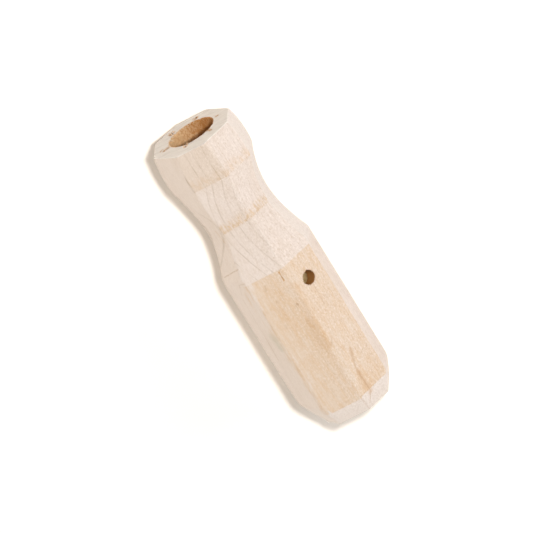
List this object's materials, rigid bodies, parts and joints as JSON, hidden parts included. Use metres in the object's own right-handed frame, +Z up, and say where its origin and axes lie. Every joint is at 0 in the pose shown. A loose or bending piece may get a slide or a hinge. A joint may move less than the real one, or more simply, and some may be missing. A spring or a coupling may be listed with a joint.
{
  "type": "muddler",
  "caption": "Octagonal wooden hand grip with a necked head, a blind shank bore in its end and a recessed steel cross pin behind the bore.",
  "frame": {"origin": "middle of the footprint, on the plane of the flat the part lies on", "axes": "+X along the axis towards the bored head, +Z up, out of the flat opposite the resting one; the cross pin runs between -Y +Z and +Y -Z at 45 degrees"},
  "size_m": [0.1354, 0.0382, 0.038],
  "materials": {
    "wood": "bare planed hardwood, matt, unfinished",
    "pin_steel": "dull, lightly stained"
  },
  "bodies": {
    "root": {"wood_body": "wood", "cross_pin": "pin_steel"}
  },
  "joints": []
}
